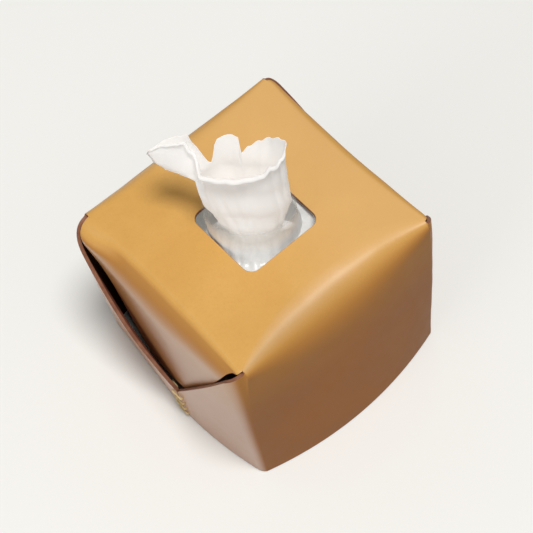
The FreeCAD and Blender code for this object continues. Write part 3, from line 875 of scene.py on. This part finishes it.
def tissue_rows():
    turns = [2 * math.pi * number / tissue_columns for number in range(tissue_columns)]
    rims = [tissue_rim(turn) for turn in turns]
    rows = []
    for share in steps(1.0, 0.0, 44):
        row = []
        for turn, rim in zip(turns, rims):
            up = between(slit_up, rim, share)
            across, deep = tissue_place(turn, up)
            below = rim - up
            lip = max(0.0, -math.sin(turn)) * max(0.0, 1 - below / lip_depth) ** 2
            deep -= lip_reach * lip
            swell = tissue_swell(turn, across, deep, up)
            outward = tissue_outward(turn)
            across += outward.x * swell
            deep += outward.y * swell
            row.append((across, deep, between(up, tissue_top(turn, up), share ** 4)))
        rows.append(row)
    rim_row = rows[0]
    for curl in steps(0.0, curl_turn, 9)[1:]:
        around = math.radians(curl)
        row = []
        for turn, (across, deep, up) in zip(turns, rim_row):
            roll = rim_roll + lip_roll * max(0.0, -math.sin(turn)) ** 0.7
            outward = tissue_outward(turn) * roll * (1 - math.cos(around))
            row.append((across + outward.x, deep + outward.y, up + roll * math.sin(around)))
        rows.insert(0, row)
    for depth, first, last in folded_layers:
        for up in steps(first, last, 12):
            rows.append([(folded_half * math.cos(turn), depth * math.sin(turn), up) for turn in turns])
    return rows


def join_rings(shape, rings):
    for ring, following in zip(rings, rings[1:]):
        for number in range(len(ring)):
            after = (number + 1) % len(ring)
            shape.faces.new((ring[number], ring[after], following[after], following[number]))


def ring_mesh(name, rows):
    shape = bmesh.new()
    rings = []
    for row in rows:
        places = [right_way * across + away * deep + Vector((0.0, 0.0, up)) for across, deep, up in row]
        rings.append([shape.verts.new(place * millimetre) for place in places])
    join_rings(shape, rings)
    return smooth_mesh(name, shape)


def tissue_paper():
    finish = Finish("tissue_paper")
    place = finish.place()
    fibres = finish.cloud(place, 0.5, 5.0, 0.7)
    crumple = finish.cloud(place, 5.0, 4.0)
    white = finish.tint(finish.step(fibres, 0.4, 0.75) * 0.5, (0.965, 0.96, 0.95), (0.93, 0.925, 0.915))
    relief = finish.bump(fibres * 0.3 + crumple, 0.3, 0.4)
    # The paper's faint emission is a painted glow, standing in for light scattered through its folds.
    paper = finish.node("BsdfPrincipled", {}, {
        "Base Color": white, "Roughness": 0.9, "Specular IOR Level": 0.1, "Normal": relief,
        "Emission Color": (0.95, 0.93, 0.90, 1.0), "Emission Strength": 0.18,
    })
    glow = finish.node("BsdfTranslucent", {}, {"Color": (0.93, 0.92, 0.91, 1.0)})
    finish.node("OutputMaterial", {}, {"Surface": finish.node("MixShader", {}, {0: 0.38, 1: paper, 2: glow})})
    return finish.material


tissue_painted_glow_finish = tissue_paper()
tissue = laid("tissue_sheet", ring_mesh("tissue_sheet", tissue_rows()), [tissue_painted_glow_finish])
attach(tissue, "tissue")
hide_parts("raised_tissue")


# Film window: thin clear film glued under the carton's window. The tissue has drawn its slit up into a
# collar, and creases run down from there to the opening.

film_columns = 180
film_top = 121.9
film_glued = 120.95
film_round = 46.0
throat_half = 24.0
throat_power = 2.6
throat_front = 0.16
collar_height = 152.0
collar_gap = 2.2
crease_depth = 14.0


def film_rows():
    turns = [2 * math.pi * number / film_columns for number in range(film_columns)]
    rows = []
    throats = []
    for turn in turns:
        direction = right_way * math.cos(turn) + away * math.sin(turn)
        square = (abs(direction.x) ** throat_power + abs(direction.y) ** throat_power) ** (1 / throat_power)
        throats.append(throat_half / square * (1 + throat_front * max(0.0, -math.sin(turn)) ** 2))
    for share in steps(0.0, 1.0, 26):
        row = []
        for turn, throat in zip(turns, throats):
            collar_wave = 2.0 * noise.noise(Vector((turn * 2.0, 5.0, 1.0)))
            collar_up = collar_height + 4.0 * math.cos(turn) + collar_wave
            across, deep = tissue_place(turn, collar_up)
            collar = Vector((across, deep)) + Vector((math.cos(turn), math.sin(turn))) * collar_gap
            foot = Vector((math.cos(turn), math.sin(turn))) * throat
            place = collar.lerp(foot, share)
            crease = abs(noise.noise(Vector((turn * 4.5, share * 0.8, 2.0)))) - 0.2
            up = between(film_top, collar_up, (1 - share) ** 2.4)
            up += crease * crease_depth * share * (1 - share)
            row.append((place.x, place.y, up))
        rows.append(row)
    for share in steps(0.0, 1.0, 8)[1:]:
        up = between(film_top, film_glued, min(1.0, share * 4.0))
        outs = [between(throat, film_round, share) for throat in throats]
        rows.append([(math.cos(turn) * out, math.sin(turn) * out, up) for turn, out in zip(turns, outs)])
    return rows


def clear_film():
    finish = Finish("clear_film")
    place = finish.place()
    drawn = finish.node("VectorMath", {"operation": "MULTIPLY"}, {0: place, 1: (1.0, 1.0, 0.3)})
    creases = finish.cloud(drawn, 5.0, 2.0, 0.5)
    height = finish.axis(place, "Z")
    rightwards = finish.axis(place, "X") - finish.axis(place, "Y")
    clear_ends = finish.step(0.0 - rightwards, 34.0, 42.0) + finish.step(rightwards, 41.0, 48.0)
    haze = (0.82 + finish.step(creases, 0.35, 0.75) * 0.16) * (1.0 - clear_ends * 0.92)
    return finish.surface({
        "Base Color": (0.86, 0.86, 0.83, 1.0),
        "Roughness": 0.3,
        "Alpha": haze * (1.0 - finish.step(height, 128.0, 146.0) * 0.95),
        "Normal": finish.bump(creases, 0.5, 0.6),
    })


film = laid("film_collar", ring_mesh("film_collar", film_rows()), [clear_film()])
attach(film, "refill")
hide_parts("film_window")


# Tissue stack: the tissues left in the carton, folded into each other. Their folds show as layers down the
# sides, and the topmost one lies nearly flat.

stack_half = 53.0
stack_corner = 5.0
stack_low = 0.9
stack_high = 52.6
layer_height = 1.25
stack_margin = 0.9


def stack_outline():
    corners = []
    middle = Vector((stack_half - stack_corner, stack_half - stack_corner))
    for quarter in range(4):
        for turn in steps(0.0, math.pi / 2, 6):
            place = middle + Vector((math.cos(turn), math.sin(turn))) * stack_corner
            spin = Matrix.Rotation(quarter * math.pi / 2, 2)
            corners.append(spin @ place)
    outline = []
    for place, following in zip(corners, corners[1:] + corners[:1]):
        count = max(1, int((following - place).length / 4.0))
        outline += [place.lerp(following, number / count) for number in range(count)]
    return outline


def stack_mesh():
    outline = stack_outline()
    shape = bmesh.new()
    rings = []
    for up in steps(stack_low, stack_high, 168):
        layer = (up - stack_low) / layer_height
        inset = 0.5 * abs(math.sin(math.pi * layer)) ** 0.5
        row = []
        for place in outline:
            stray = 0.4 * noise.noise(Vector((place.x / 20, place.y / 20, int(layer))))
            row.append(place * (1 - (stack_margin - inset + stray) / stack_half))
        rings.append([shape.verts.new((place.x * millimetre, place.y * millimetre, up * millimetre))
                      for place in row])
    for share in (0.75, 0.5, 0.25):
        ring = []
        for place in row:
            across, along = place.x * share, place.y * share
            up = stack_high + 0.15 * noise.noise(Vector((across / 9, along / 9, 0.0)))
            ring.append(shape.verts.new((across * millimetre, along * millimetre, up * millimetre)))
        rings.append(ring)
    join_rings(shape, rings)
    shape.faces.new(rings[-1])
    shape.faces.new(rings[0][::-1])
    return smooth_mesh("tissue_layers", shape)


stack = laid("tissue_layers", stack_mesh(), [tissue_painted_glow_finish])
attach(stack, "refill")
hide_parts("tissue_stack")


# Studio: a pale floor, a soft lamp high in front, a weak one low on the left and dim light all round, with
# the camera where the photograph was taken from.

def pale_floor():
    """A pale floor that throws little light back on the piece."""
    finish = Finish("pale_floor")
    path = finish.node("LightPath", {}, {}, "Is Camera Ray")
    glossy = finish.node("LightPath", {}, {}, "Is Glossy Ray")
    through = finish.node("LightPath", {}, {}, "Is Transmission Ray")
    seen = finish.step(path + glossy + through, 0.0, 1.0)
    colour = finish.tint(seen, (0.05, 0.05, 0.05), (0.885, 0.877, 0.84))
    matt = finish.node("BsdfDiffuse", {}, {"Color": colour})
    finish.node("OutputMaterial", {}, {"Surface": matt})
    return finish.material


ground = bpy.data.meshes.new("floor")
ground.from_pydata([(-4, -4, 0), (4, -4, 0), (4, 4, 0), (-4, 4, 0)], [], [(0, 1, 2, 3)])
floor = laid("floor", ground, [pale_floor()])
floor.location.z = -0.0003


def soft_lamp(name, toward, distance, size, energy):
    light = bpy.data.lights.new(name, "AREA")
    light.shape = "DISK"
    light.size = size
    light.energy = energy
    lamp = bpy.data.objects.new(name, light)
    lamp.location = toward * distance
    lamp.rotation_euler = toward.to_track_quat("Z", "Y").to_euler()
    bpy.context.scene.collection.objects.link(lamp)


soft_lamp("key_lamp", Vector((-0.01, -0.24, 0.97)).normalized(), distance=6.0, size=1.9, energy=256.0)
soft_lamp("fill_lamp", Vector((-0.95, -0.1, 0.3)).normalized(), distance=2.0, size=1.2, energy=9.0)

world = bpy.data.worlds.new("studio")
world.use_nodes = True
world.node_tree.nodes["Background"].inputs["Color"].default_value = (1.0, 1.0, 1.0, 1.0)
world.node_tree.nodes["Background"].inputs["Strength"].default_value = 0.28
bpy.context.scene.world = world

back = Vector((-0.2706, -0.4151, 0.8686)).normalized()
level = Vector((0.0, 0.0, 1.0)).cross(back).normalized()
upright = back.cross(level)
roll = math.radians(-9.3)
view_right = level * math.cos(roll) + upright * math.sin(roll)
view_up = upright * math.cos(roll) - level * math.sin(roll)
sensor = 36.0
picture_width = 533.0
focal_pixels = 1700.0
lens = bpy.data.cameras.new("camera")
lens.lens = sensor * focal_pixels / picture_width
lens.sensor_width = sensor
lens.shift_x = 2.11 / picture_width
lens.shift_y = 8.64 / picture_width
camera = bpy.data.objects.new("camera", lens)
eye = Vector((0.0, 0.0, 0.063)) + back * 0.99608
camera.matrix_world = Matrix((
    (view_right.x, view_up.x, back.x, eye.x),
    (view_right.y, view_up.y, back.y, eye.y),
    (view_right.z, view_up.z, back.z, eye.z),
    (0.0, 0.0, 0.0, 1.0),
))
bpy.context.scene.collection.objects.link(camera)
bpy.context.scene.camera = camera
bpy.context.scene.view_settings.view_transform = "Standard"
